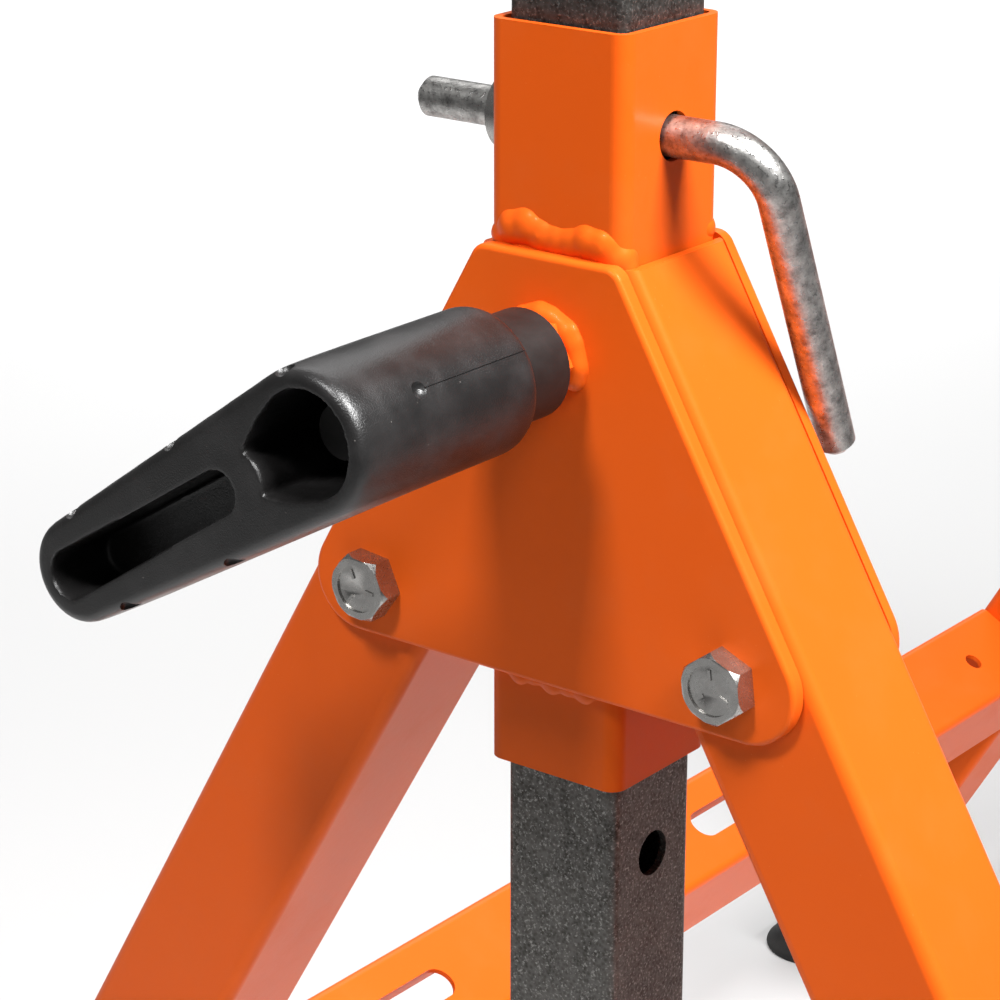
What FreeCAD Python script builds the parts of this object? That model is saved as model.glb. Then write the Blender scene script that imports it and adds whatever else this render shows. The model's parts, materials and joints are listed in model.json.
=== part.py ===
import FreeCAD, Part
import Sketcher
import math
import os

"""Folding sawhorse with a height-adjustable top beam.

Frame: millimetres, +Z up, origin on the floor at the centre of the stand.
X is the spread of the legs and Y the length of the beam. Two identical heads, front (-Y)
and rear (+Y), each hold a sliding post. A left and a right leg frame fold on bolts
through the gusset plates of both heads.
"""

os.makedirs("parts", exist_ok=True)
doc = FreeCAD.newDocument("FoldingSawhorse")

# ---------------------------------------------------------------- driving dimensions

DRIVING_SIZES = {
    # stand
    "frame_spacing": 614,
    "head_height": 595,
    "leg_angle": 30,
    # head sleeve, measured down from its top edge
    "sleeve_width": 40,
    "sleeve_wall": 2,
    "sleeve_corner": 4.2,
    "sleeve_length": 188,
    "pin_hole_drop": 26.4,
    "clamp_drop": 78,
    # gusset plates
    "gusset_thick": 4,
    "gusset_top_drop": 53.5,
    "gusset_bottom_drop": 162.5,
    "gusset_margin": -1.5,
    "gusset_corner": 14,
    "gusset_top_corner": 5,
    "gusset_edge": 1.4,
    # leg pivots
    "pivot_reach": 54,
    "pivot_drop": 148,
    "bolt_radius": 5,
    "bolt_flats": 16,
    "bolt_head": 6.4,
    "nut_thick": 9,
    "washer_radius": 10,
    "washer_thick": 2,
    "bolt_point": 3,
    # legs
    "leg_gap": 0.3,
    "leg_top_drop": 54.7,
    "leg_wall": 2,
    "leg_corner": 3.5,
    "leg_end_height": 16,
    "stop_gap": 0.3,
    # side rails, measured along the legs from the pivots
    "rail_drop": 285,
    "rail_width": 41,
    "rail_flange": 40,
    "rail_wall": 2,
    "rail_bend": 3,
    "slot_width": 12.6,
    "slot_length": 123,
    "slot_near": 186,
    "slot_far": 92,
    "rail_hole_radius": 4,
    "rail_hole_place": 249,
    # rubber feet
    "foot_radius": 26,
    "foot_neck": 23.5,
    "foot_height": 17,
    "foot_wall": 3,
    "foot_sleeve": 42,
    # posts and pins
    "post_gap": 1,
    "post_wall": 2,
    "post_corner": 3,
    "post_below": 270,
    "post_shift": 0.7,
    "pin_pitch": 46.5,
    "pin_radius": 5,
    "pin_play": 1,
    "pin_tip_reach": 55,
    "pin_bend_reach": 32,
    "pin_bend_radius": 14,
    "pin_lean": 0.5,
    "pin_roll": 23,
    "pin_handle": 73,
    "pin_chamfer": 2,
    "bush_radius": 10,
    "bush_thick": 8.5,
    # clamp
    "stud_radius": 6,
    "stud_gap": 0.3,
    "weld_nut_flats": 19,
    "weld_nut_thick": 7,
    "collar_radius": 13.5,
    "collar_length": 17.2,
    "neck_radius": 8,
    "neck_length": 20,
    "hub_radius": 18,
    "hub_length": 62.2,
    "recess_radius": 13.4,
    "recess_depth": 36,
    "arm_reach": 84,
    "arm_tip_radius": 12.6,
    "arm_thick": 27,
    "arm_slot_width": 12,
    "arm_slot_start": 24,
    "arm_slot_end": 91,
    "arm_slot_depth": 19,
    "lever_angle": 32.4,
    "screw_radius": 3,
    "screw_head_radius": 6.5,
    "screw_head_thick": 4,
    "spring_radius": 5,
    "spring_wire": 0.8,
    "spring_length": 18,
    "spring_pitch": 3.6,
    # top beam
    "beam_overhang": 93,
    "beam_gap": 0.5,
    "beam_wall": 2.5,
    "beam_flange": 46,
    "beam_top": 156,
    "beam_bend": 4,
    "grip_width": 32,
    "grip_thick": 4,
    "fixing_radius": 3.25,
    "fixing_spacing": 300,
    "cap_thick": 3,
    "cap_depth": 18,
    "beam_bolt_radius": 4,
    "beam_bolt_flats": 13,
    "beam_bolt_head": 5.3,
    "beam_bolt_upper": 14,
    "beam_bolt_lower": 34,
    "fit_gap": 0.2,
}

# sizes that fit a neighbour, written in terms of the driving ones
FITTED_SIZES = {
    "Sizes.beam_length": "(Sizes.frame_spacing + 2 * Sizes.beam_overhang)",
    "Sizes.beam_width": "(Sizes.post_width + 2 * Sizes.beam_gap + 2 * Sizes.beam_wall)",
    "Sizes.post_width": "(Sizes.sleeve_width - 2 * Sizes.sleeve_wall - 2 * Sizes.post_gap)",
    "Sizes.leg_width": "(Sizes.sleeve_width - 2 * Sizes.leg_gap)",
    "Sizes.pin_hole_radius": "(Sizes.pin_radius + Sizes.pin_play)",
}

sizes = doc.addObject("Spreadsheet::Sheet", "Sizes")
for row, (alias, number) in enumerate(DRIVING_SIZES.items(), start=1):
    sizes.set(f"A{row}", alias)
    sizes.set(f"B{row}", str(number))
    sizes.setAlias(f"B{row}", alias)
doc.recompute()

FRONT = -1
REAR = 1
LEFT = -1
RIGHT = 1
ENDS = {"front": FRONT, "rear": REAR}
SIDES = {"left": LEFT, "right": RIGHT}
X_AXIS = FreeCAD.Vector(1, 0, 0)
Y_AXIS = FreeCAD.Vector(0, 1, 0)
Z_AXIS = FreeCAD.Vector(0, 0, 1)
HALF_TURN = 180
QUARTER_TURN = 90
STRAIGHT = 1e-6
TURNS_PER_EDGE = 0.5

nodes = []


def written_out(expression):
    """An expression in which every fitted size is replaced by the driving sizes behind it."""
    for name, meaning in FITTED_SIZES.items():
        expression = expression.replace(name, meaning)
    return expression


def worth(expression):
    """The number that an expression of sheet cells gives."""
    return float(sizes.evalExpression(written_out(expression)))


def follow(item, setting, expression):
    """Make a setting of an object follow an expression of sheet cells."""
    item.setExpression(setting, written_out(expression))


def node(part, name):
    """Name a finished part and list it for export."""
    part.Label = name
    nodes.append(part)
    return part


# ---------------------------------------------------------------- sketch and body helpers


def new_sketch(body, plane_role, offset=None):
    """A sketch on one of the body's own origin planes, moved along its normal by an offset."""
    sketch = body.newObject("Sketcher::SketchObject", body.Name + "_sketch")
    plane = next(item for item in body.Origin.OriginFeatures if item.Role == plane_role)
    sketch.AttachmentSupport = [(plane, "")]
    sketch.MapMode = "FlatFace"
    if offset:
        follow(sketch, "AttachmentOffset.Base.z", offset)
    return sketch


def bind(sketch, kind, *parts):
    """Add a sized constraint whose value follows an expression, the last argument."""
    expression = parts[-1]
    index = sketch.addConstraint(Sketcher.Constraint(kind, *parts[:-1], worth(expression)))
    follow(sketch, f"Constraints[{index}]", expression)


def outline(sketch, corners):
    """A closed outline of straight lines through corners given as pairs of expressions."""
    first = sketch.GeometryCount
    count = len(corners)
    points = [FreeCAD.Vector(worth(x), worth(y), 0) for x, y in corners]
    for here, there in zip(points, points[1:] + points[:1]):
        sketch.addGeometry(Part.LineSegment(here, there))
    for step in range(count):
        line = first + step
        following = first + (step + 1) % count
        sketch.addConstraint(Sketcher.Constraint("Coincident", line, 2, following, 1))
    for step, (x, y) in enumerate(corners):
        bind(sketch, "DistanceX", -1, 1, first + step, 1, x)
        bind(sketch, "DistanceY", -1, 1, first + step, 1, y)


def rectangle(sketch, width, height, x="0", y="0"):
    """A rectangle about a centre."""
    outline(sketch, [(f"({x}) - ({width}) / 2", f"({y}) - ({height}) / 2"),
                     (f"({x}) + ({width}) / 2", f"({y}) - ({height}) / 2"),
                     (f"({x}) + ({width}) / 2", f"({y}) + ({height}) / 2"),
                     (f"({x}) - ({width}) / 2", f"({y}) + ({height}) / 2")])


def circle(sketch, x, y, radius):
    """A circle about a centre, all three given as expressions."""
    centre = FreeCAD.Vector(worth(x), worth(y), 0)
    index = sketch.addGeometry(Part.Circle(centre, Z_AXIS, worth(radius)))
    bind(sketch, "Radius", index, radius)
    bind(sketch, "DistanceX", -1, 1, index, 3, x)
    bind(sketch, "DistanceY", -1, 1, index, 3, y)


def pad(body, sketch, length, symmetric=False):
    """Extrude a sketch along its normal, or half to each side."""
    feature = body.newObject("PartDesign::Pad", body.Name + "_pad")
    feature.Profile = sketch
    follow(feature, "Length", length)
    if symmetric:
        feature.SideType = "Symmetric"
    sketch.Visibility = False
    doc.recompute()
    return feature


def cut(body, sketch, depth, symmetric=False):
    """Cut a sketch against its normal, or half to each side; it must take material away."""
    before = body.Shape.Volume
    feature = body.newObject("PartDesign::Pocket", body.Name + "_pocket")
    feature.Profile = sketch
    follow(feature, "Length", depth)
    if symmetric:
        feature.SideType = "Symmetric"
    doc.recompute()
    if body.Shape.Volume >= before:
        raise RuntimeError(f"{feature.Name} cuts nothing")
    return feature


def round_edges(body, along, radius, wanted=None):
    """Fillet the straight edges that run along a direction and pass a further test."""
    base = body.Tip
    names = []
    for number, edge in enumerate(base.Shape.Edges, start=1):
        if edge.Curve.TypeId != "Part::GeomLine":
            continue
        if edge.tangentAt(edge.FirstParameter).cross(along).Length > STRAIGHT:
            continue
        if wanted is None or wanted(edge.CenterOfMass):
            names.append(f"Edge{number}")
    feature = body.newObject("PartDesign::Fillet", body.Name + "_fillet")
    feature.Base = (base, names)
    follow(feature, "Radius", radius)
    doc.recompute()
    return feature


def soften(body, level, radius):
    """Fillet the open edges of one flat face that looks along Y, and leave its round holes sharp."""
    base = body.Tip
    names = []
    for number, edge in enumerate(base.Shape.Edges, start=1):
        reach = edge.BoundBox
        if max(abs(reach.YMin - level), abs(reach.YMax - level)) < STRAIGHT and not edge.isClosed():
            names.append(f"Edge{number}")
    feature = body.newObject("PartDesign::Fillet", body.Name + "_soft_edge")
    feature.Base = (base, names)
    follow(feature, "Radius", radius)
    doc.recompute()
    return feature


def new_body(name):
    """An empty body."""
    return doc.addObject("PartDesign::Body", name)


def tube_body(name, width, wall, corner, top, bottom):
    """An upright square tube between two heights, with rounded corners in and out."""
    body = new_body(name)
    section = new_sketch(body, "XY_Plane", bottom)
    rectangle(section, width, width)
    pad(body, section, f"({top}) - ({bottom})")
    round_edges(body, Z_AXIS, corner)
    bore = new_sketch(body, "XY_Plane", top)
    rectangle(bore, f"{width} - 2 * {wall}", f"{width} - 2 * {wall}")
    cut(body, bore, f"({top}) - ({bottom})")
    inner = worth(f"{width} / 2 - {wall}")
    round_edges(body, Z_AXIS, f"{corner} - {wall}",
                lambda spot: max(abs(spot.x), abs(spot.y)) < inner + STRAIGHT)
    return body


def drill(body, plane_role, holes, radius, depth, offset=None, symmetric=True):
    """Round holes at a list of places, through both walls or to a depth."""
    sketch = new_sketch(body, plane_role, offset)
    for x, y in holes:
        circle(sketch, x, y, radius)
    return cut(body, sketch, depth, symmetric)


# ---------------------------------------------------------------- primitives and groups


def primitive(kind, name, measures, at=("0", "0", "0"), turn=None):
    """A Part primitive with its measures and its place bound to expressions."""
    solid = doc.addObject("Part::" + kind, name)
    for measure, expression in measures.items():
        follow(solid, measure, expression)
    if turn:
        solid.Placement = FreeCAD.Placement(FreeCAD.Vector(), FreeCAD.Rotation(*turn))
    for letter, expression in zip("xyz", at):
        follow(solid, f"Placement.Base.{letter}", expression)
    return solid


def cylinder(name, radius, length, at=("0", "0", "0"), turn=None):
    """A round bar that starts at a place and runs along +Z before it is turned."""
    return primitive("Cylinder", name, {"Radius": radius, "Height": length}, at, turn)


def hexagon(name, flats, length, at=("0", "0", "0"), turn=None):
    """A hexagonal prism of a given width across its flats."""
    bar = primitive("Prism", name, {"Circumradius": f"{flats} / 2 / cos(30)", "Height": length}, at, turn)
    bar.Polygon = 6
    return bar


def fused(name, solids):
    """One solid made of several."""
    union = doc.addObject("Part::MultiFuse", name)
    union.Shapes = solids
    return union


def minus(name, base, tool):
    """A solid with another taken away."""
    difference = doc.addObject("Part::Cut", name)
    difference.Base = base
    difference.Tool = tool
    return difference


def group(name, solids):
    """Several separate solids that make up one node."""
    bundle = doc.addObject("Part::Compound", name)
    bundle.Links = solids
    return bundle


OUTWARD = (X_AXIS, QUARTER_TURN)
INWARD = (X_AXIS, -QUARTER_TURN)
TO_RIGHT = (Y_AXIS, QUARTER_TURN)


def stand_on_head(part, end):
    """Put a part drawn about the sleeve's top centre on its head, facing away from the middle."""
    turn = HALF_TURN if end == REAR else 0
    part.Placement = FreeCAD.Placement(FreeCAD.Vector(), FreeCAD.Rotation(Z_AXIS, turn))
    follow(part, "Placement.Base.y", f"{end} * Sizes.frame_spacing / 2")
    follow(part, "Placement.Base.z", "Sizes.head_height")
    return part


# ---------------------------------------------------------------- heads


def make_sleeve(label, end):
    """Square sleeve that guides a post, with cross holes for the lock pin and the clamp stud."""
    body = tube_body(label + "_sleeve", "Sizes.sleeve_width", "Sizes.sleeve_wall", "Sizes.sleeve_corner",
                     "0", "-Sizes.sleeve_length")
    drill(body, "YZ_Plane", [("0", "-Sizes.pin_hole_drop")], "Sizes.pin_hole_radius",
          "2 * Sizes.sleeve_width", symmetric=True)
    drill(body, "XZ_Plane", [("0", "-Sizes.clamp_drop")], "Sizes.stud_radius + Sizes.fit_gap",
          "Sizes.sleeve_width / 2", offset="Sizes.sleeve_width / 2", symmetric=False)
    node(stand_on_head(body, end), label + "_sleeve")


GUSSET_EDGE = "(Sizes.pivot_reach + (Sizes.leg_width / 2 + Sizes.gusset_margin) / cos(Sizes.leg_angle)" \
              " + ({drop} - Sizes.pivot_drop) * tan(Sizes.leg_angle))"


def make_gusset(label, end, outer):
    """Plate welded to the sleeve; its sloping edges run along the open legs."""
    name = f"{label}_{'outer' if outer else 'inner'}_gusset"
    body = new_body(name)
    start = "Sizes.sleeve_width / 2" if outer else "-Sizes.sleeve_width / 2 - Sizes.gusset_thick"
    top = GUSSET_EDGE.format(drop="Sizes.gusset_top_drop")
    foot = GUSSET_EDGE.format(drop="Sizes.gusset_bottom_drop")
    plate = new_sketch(body, "XZ_Plane", start)
    outline(plate, [("-" + foot, "-Sizes.gusset_bottom_drop"), (foot, "-Sizes.gusset_bottom_drop"),
                    (top, "-Sizes.gusset_top_drop"), ("-" + top, "-Sizes.gusset_top_drop")])
    pad(body, plate, "Sizes.gusset_thick")
    middle = -worth("Sizes.gusset_top_drop + Sizes.gusset_bottom_drop") / 2
    round_edges(body, Y_AXIS, "Sizes.gusset_corner", lambda spot: spot.z < middle)
    round_edges(body, Y_AXIS, "Sizes.gusset_top_corner", lambda spot: spot.z > middle)
    facing = FRONT if outer else REAR
    soften(body, facing * worth("Sizes.sleeve_width / 2 + Sizes.gusset_thick"), "Sizes.gusset_edge")
    drill(body, "XZ_Plane", [(f"{side} * Sizes.pivot_reach", "-Sizes.pivot_drop") for side in (LEFT, RIGHT)],
          "Sizes.bolt_radius + Sizes.fit_gap", "4 * Sizes.sleeve_width")
    if outer:
        drill(body, "XZ_Plane", [("0", "-Sizes.clamp_drop")], "Sizes.stud_radius + Sizes.fit_gap",
              "4 * Sizes.sleeve_width")
    node(stand_on_head(body, end), name)


def make_weld_nut(label, end):
    """Hexagon nut welded over the clamp hole in the outer gusset."""
    face = "-Sizes.sleeve_width / 2 - Sizes.gusset_thick"
    at = ("0", face, "-Sizes.clamp_drop")
    blank = hexagon(label + "_nut_blank", "Sizes.weld_nut_flats", "Sizes.weld_nut_thick", at, OUTWARD)
    thread = cylinder(label + "_nut_thread", "Sizes.stud_radius + Sizes.fit_gap / 4", "Sizes.weld_nut_thick",
                      at, OUTWARD)
    nut = minus(label + "_clamp_nut", blank, thread)
    node(stand_on_head(nut, end), label + "_clamp_nut")


def make_pin_bush(label, end):
    """Round guide bush on the side of the sleeve where the lock pin's tip comes out."""
    start = "-Sizes.sleeve_width / 2 - Sizes.bush_thick"
    at = (start, "0", "-Sizes.pin_hole_drop")
    ring = cylinder(label + "_bush_blank", "Sizes.bush_radius", "Sizes.bush_thick", at, TO_RIGHT)
    bore = cylinder(label + "_bush_bore", "Sizes.pin_radius + Sizes.fit_gap", "Sizes.bush_thick",
                    at, TO_RIGHT)
    bush = minus(label + "_pin_bush", ring, bore)
    node(stand_on_head(bush, end), label + "_pin_bush")


PLATE_FACE = "Sizes.sleeve_width / 2 + Sizes.gusset_thick"
CLAMPED = f"2 * ({PLATE_FACE})"


def make_pivot_fasteners(label, end):
    """Bolts, washers and lock nuts of the two leg pivots, one group of each."""
    bolts = []
    washers = []
    nuts = []
    for word, side in SIDES.items():
        name = f"{label}_{word}"
        x = f"{side} * Sizes.pivot_reach"
        z = "-Sizes.pivot_drop"
        head = hexagon(name + "_bolt_head", "Sizes.bolt_flats", "Sizes.bolt_head",
                       (x, f"-({PLATE_FACE})", z), OUTWARD)
        shank = cylinder(name + "_bolt_shank", "Sizes.bolt_radius",
                         f"{CLAMPED} + Sizes.washer_thick + Sizes.nut_thick + Sizes.bolt_point",
                         (x, f"-({PLATE_FACE})", z), INWARD)
        bolts.append(fused(name + "_bolt", [head, shank]))
        disc = cylinder(name + "_washer_disc", "Sizes.washer_radius", "Sizes.washer_thick",
                        (x, PLATE_FACE, z), INWARD)
        eye = cylinder(name + "_washer_eye", "Sizes.bolt_radius + Sizes.fit_gap", "Sizes.washer_thick",
                       (x, PLATE_FACE, z), INWARD)
        washers.append(minus(name + "_washer", disc, eye))
        seat = f"{PLATE_FACE} + Sizes.washer_thick"
        blank = hexagon(name + "_nut_blank", "Sizes.bolt_flats", "Sizes.nut_thick", (x, seat, z), INWARD)
        thread = cylinder(name + "_nut_thread", "Sizes.bolt_radius", "Sizes.nut_thick", (x, seat, z), INWARD)
        nuts.append(minus(name + "_nut", blank, thread))
    node(stand_on_head(group(label + "_pivot_bolts", bolts), end), label + "_pivot_bolts")
    node(stand_on_head(group(label + "_pivot_washers", washers), end), label + "_pivot_washers")
    node(stand_on_head(group(label + "_pivot_nuts", nuts), end), label + "_pivot_nuts")


# ---------------------------------------------------------------- leg frames


def lean(part, side, y):
    """Hang a part drawn about the pivot on an upright leg, leaning out to its side."""
    part.Placement = FreeCAD.Placement(FreeCAD.Vector(), FreeCAD.Rotation(FreeCAD.Vector(0, -side, 0), 1))
    follow(part, "Placement.Rotation.Angle", "Sizes.leg_angle")
    follow(part, "Placement.Base.x", f"{side} * Sizes.pivot_reach")
    follow(part, "Placement.Base.y", y)
    follow(part, "Placement.Base.z", "Sizes.head_height - Sizes.pivot_drop")
    return part


LEG_STOP = "(Sizes.pivot_reach - Sizes.sleeve_width / 2 - Sizes.stop_gap)"
LEG_RISE = "(Sizes.pivot_drop - Sizes.leg_top_drop)"
LEG_TOP = "((Sizes.leg_width / 2) / tan(Sizes.leg_angle)" \
          f" + {LEG_STOP} / sin(Sizes.leg_angle))"
LEG_HEEL = f"({LEG_STOP} / sin(Sizes.leg_angle)" \
           " - (Sizes.leg_width / 2) / tan(Sizes.leg_angle))"
LEG_BELOW = "((Sizes.head_height - Sizes.pivot_drop - Sizes.leg_end_height) / cos(Sizes.leg_angle))"


def make_leg(label, end, word, side):
    """Square leg tube; its top is mitred to bear flat on the sleeve, and trimmed level beside it."""
    name = f"{label}_{word}_leg"
    body = tube_body(name, "Sizes.leg_width", "Sizes.leg_wall", "Sizes.leg_corner", LEG_TOP, "-" + LEG_BELOW)
    mitre = new_sketch(body, "XZ_Plane")
    half = f"{side} * Sizes.leg_width / 2"
    past = f"{side} * Sizes.leg_width"
    ridge_x = f"({side}) * ({LEG_RISE} * sin(Sizes.leg_angle) - {LEG_STOP} * cos(Sizes.leg_angle))"
    ridge_z = f"{LEG_STOP} * sin(Sizes.leg_angle) + {LEG_RISE} * cos(Sizes.leg_angle)"
    brow_z = f"({LEG_RISE} - Sizes.leg_width / 2 * sin(Sizes.leg_angle)) / cos(Sizes.leg_angle)"
    outline(mitre, [(f"-({half})", LEG_HEEL), (ridge_x, ridge_z), (half, brow_z),
                    (half, f"{LEG_TOP} + Sizes.leg_width"),
                    (f"-({past})", f"{LEG_TOP} + Sizes.leg_width"), (f"-({past})", LEG_HEEL)])
    cut(body, mitre, "2 * Sizes.leg_width", symmetric=True)
    drill(body, "XZ_Plane", [("0", "0")], "Sizes.bolt_radius + Sizes.fit_gap / 2", "2 * Sizes.leg_width")
    node(lean(body, side, f"{end} * Sizes.frame_spacing / 2"), name)


def make_rail(word, side):
    """Folded channel between the two legs of a side, open towards the floor, slotted in its web."""
    name = f"{word}_side_rail"
    body = new_body(name)
    section = new_sketch(body, "XZ_Plane")
    web = "-Sizes.rail_drop"
    rectangle(section, "Sizes.rail_width", "Sizes.rail_flange", y=f"{web} - Sizes.rail_flange / 2")
    span = "Sizes.frame_spacing - Sizes.leg_width"
    pad(body, section, span, symmetric=True)
    top = -worth("Sizes.rail_drop")
    round_edges(body, Y_AXIS, "Sizes.rail_bend", lambda spot: spot.z > top - STRAIGHT)
    hollow = new_sketch(body, "XZ_Plane")
    rectangle(hollow, "Sizes.rail_width - 2 * Sizes.rail_wall", "Sizes.rail_flange",
              y=f"{web} - Sizes.rail_wall - Sizes.rail_flange / 2")
    cut(body, hollow, "Sizes.frame_spacing", symmetric=True)
    slots = new_sketch(body, "XY_Plane", web)
    for place in (f"{side} * Sizes.slot_near", f"-({side}) * Sizes.slot_far"):
        rectangle(slots, "Sizes.slot_width", "Sizes.slot_length", y=place)
    cut(body, slots, "Sizes.rail_wall")
    round_edges(body, Z_AXIS, "Sizes.slot_width / 2 - Sizes.fit_gap",
                lambda spot: abs(spot.x) < worth("Sizes.slot_width"))
    drill(body, "XY_Plane", [("0", f"{way} * Sizes.rail_hole_place") for way in (FRONT, REAR)],
          "Sizes.rail_hole_radius", "Sizes.rail_wall", offset=web, symmetric=False)
    node(lean(body, side, "0"), name)


def make_foot(label, end, word, side):
    """Rubber foot: a sloping cap pushed on the leg, on a round base that lies flat on the floor."""
    name = f"{label}_{word}_foot"
    reach = "Sizes.pivot_reach + (Sizes.head_height - Sizes.pivot_drop - Sizes.leg_end_height / 2)" \
            " * tan(Sizes.leg_angle)"
    y = f"{end} * Sizes.frame_spacing / 2"
    measures = {"Radius1": "Sizes.foot_radius", "Radius2": "Sizes.foot_neck", "Height": "Sizes.foot_height"}
    base = primitive("Cone", name + "_base", measures, (f"{side} * ({reach})", y, "0"))
    across = "Sizes.leg_width + 2 * Sizes.foot_wall"
    cap = primitive("Box", name + "_cap", {"Length": across, "Width": across, "Height": "Sizes.foot_sleeve"},
                    (f"-({across}) / 2", f"-({across}) / 2", f"-{LEG_BELOW} - Sizes.foot_wall"))
    sleeve = lean(group(name + "_sleeve", [cap]), side, y)
    hole = "Sizes.leg_width + Sizes.fit_gap"
    bore = primitive("Box", name + "_bore", {"Length": hole, "Width": hole, "Height": "Sizes.foot_sleeve"},
                     (f"-({hole}) / 2", f"-({hole}) / 2", f"-{LEG_BELOW}"))
    socket = lean(group(name + "_socket", [bore]), side, y)
    node(minus(name, fused(name + "_solid", [base, sleeve]), socket), name)


# ---------------------------------------------------------------- posts and top beam

POST_TOP = "(Sizes.beam_top - Sizes.beam_wall)"
HOLES_ABOVE = 2
HOLES_BELOW = 4
BOLT_LEVELS = ("upper", "lower")
POST_REACH = "Sizes.frame_spacing / 2 - Sizes.post_shift"


def make_post(label, end):
    """Sliding post with a row of cross holes; the clamp presses it against the sleeve's far wall."""
    name = label + "_post"
    body = tube_body(name, "Sizes.post_width", "Sizes.post_wall", "Sizes.post_corner",
                     POST_TOP, "-Sizes.post_below")
    row = range(-HOLES_ABOVE, HOLES_BELOW + 1)
    drill(body, "YZ_Plane", [("0", f"-Sizes.pin_hole_drop - {step} * Sizes.pin_pitch") for step in row],
          "Sizes.pin_hole_radius", "2 * Sizes.post_width")
    drill(body, "YZ_Plane", [("0", f"Sizes.beam_top - Sizes.beam_bolt_{level}") for level in BOLT_LEVELS],
          "Sizes.beam_bolt_radius + Sizes.fit_gap", "2 * Sizes.post_width")
    stand_on_head(body, end)
    follow(body, "Placement.Base.y", f"{end} * ({POST_REACH})")
    node(body, name)


def make_post_plug(label, end):
    """Plastic plug in the lower end of a post."""
    name = label + "_post_plug"
    body = new_body(name)
    bottom = "-Sizes.post_below"
    lip = new_sketch(body, "XY_Plane", f"{bottom} - Sizes.cap_thick")
    rectangle(lip, "Sizes.post_width", "Sizes.post_width")
    pad(body, lip, "Sizes.cap_thick")
    round_edges(body, Z_AXIS, "Sizes.post_corner")
    spigot = new_sketch(body, "XY_Plane", bottom)
    inside = "Sizes.post_width - 2 * Sizes.post_wall - 2 * Sizes.fit_gap"
    rectangle(spigot, inside, inside)
    pad(body, spigot, "Sizes.cap_depth")
    half = worth(inside) / 2
    round_edges(body, Z_AXIS, "Sizes.post_corner - Sizes.post_wall + Sizes.fit_gap",
                lambda spot: abs(abs(spot.x) - half) < STRAIGHT and abs(abs(spot.y) - half) < STRAIGHT)
    stand_on_head(body, end)
    follow(body, "Placement.Base.y", f"{end} * ({POST_REACH})")
    node(body, name)


def on_beam(part):
    """Put a part drawn about the middle of the beam, level with the sleeve tops, in its place."""
    follow(part, "Placement.Base.z", "Sizes.head_height")
    return part


def make_beam():
    """Folded channel, open downwards, that sits over both posts."""
    body = new_body("top_beam")
    section = new_sketch(body, "XZ_Plane")
    rectangle(section, "Sizes.beam_width", "Sizes.beam_flange", y="Sizes.beam_top - Sizes.beam_flange / 2")
    pad(body, section, "Sizes.beam_length", symmetric=True)
    top = worth("Sizes.beam_top")
    round_edges(body, Y_AXIS, "Sizes.beam_bend", lambda spot: spot.z > top - STRAIGHT)
    hollow = new_sketch(body, "XZ_Plane")
    rectangle(hollow, "Sizes.beam_width - 2 * Sizes.beam_wall", "Sizes.beam_flange",
              y="Sizes.beam_top - Sizes.beam_wall - Sizes.beam_flange / 2")
    cut(body, hollow, "Sizes.beam_length", symmetric=True)
    bolt_holes = [(f"{end} * ({POST_REACH})", f"Sizes.beam_top - Sizes.beam_bolt_{level}")
                  for end in (FRONT, REAR) for level in BOLT_LEVELS]
    drill(body, "YZ_Plane", bolt_holes, "Sizes.beam_bolt_radius + Sizes.fit_gap", "2 * Sizes.beam_width")
    drill(body, "XY_Plane", [("0", f"{end} * Sizes.fixing_spacing / 2") for end in (FRONT, REAR)],
          "Sizes.fixing_radius", "Sizes.beam_wall", offset="Sizes.beam_top", symmetric=False)
    node(on_beam(body), "top_beam")


def make_grip():
    """Rubber strip along the top of the beam, with holes over the fixing holes."""
    body = new_body("grip_strip")
    sheet = new_sketch(body, "XY_Plane", "Sizes.beam_top")
    rectangle(sheet, "Sizes.grip_width", "Sizes.beam_length")
    for end in (FRONT, REAR):
        circle(sheet, "0", f"{end} * Sizes.fixing_spacing / 2", "Sizes.fixing_radius")
    pad(body, sheet, "Sizes.grip_thick")
    node(on_beam(body), "grip_strip")


def make_beam_cap(label, end):
    """Plastic cap in an end of the beam."""
    name = label + "_beam_cap"
    body = new_body(name)
    far = "Sizes.beam_length / 2"
    plate = new_sketch(body, "XZ_Plane", far)
    rectangle(plate, "Sizes.beam_width", "Sizes.beam_flange", y="Sizes.beam_top - Sizes.beam_flange / 2")
    pad(body, plate, "Sizes.cap_thick")
    round_edges(body, Y_AXIS, "Sizes.beam_bend", lambda spot: spot.z > worth("Sizes.beam_top") - STRAIGHT)
    spigot = new_sketch(body, "XZ_Plane", f"{far} - Sizes.cap_depth")
    depth = "Sizes.beam_flange - Sizes.beam_wall - Sizes.fit_gap"
    rectangle(spigot, "Sizes.beam_width - 2 * Sizes.beam_wall - 2 * Sizes.fit_gap", depth,
              y=f"Sizes.beam_top - Sizes.beam_flange + ({depth}) / 2")
    pad(body, spigot, "Sizes.cap_depth")
    turn = HALF_TURN if end == REAR else 0
    body.Placement = FreeCAD.Placement(FreeCAD.Vector(), FreeCAD.Rotation(Z_AXIS, turn))
    node(on_beam(body), name)


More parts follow.
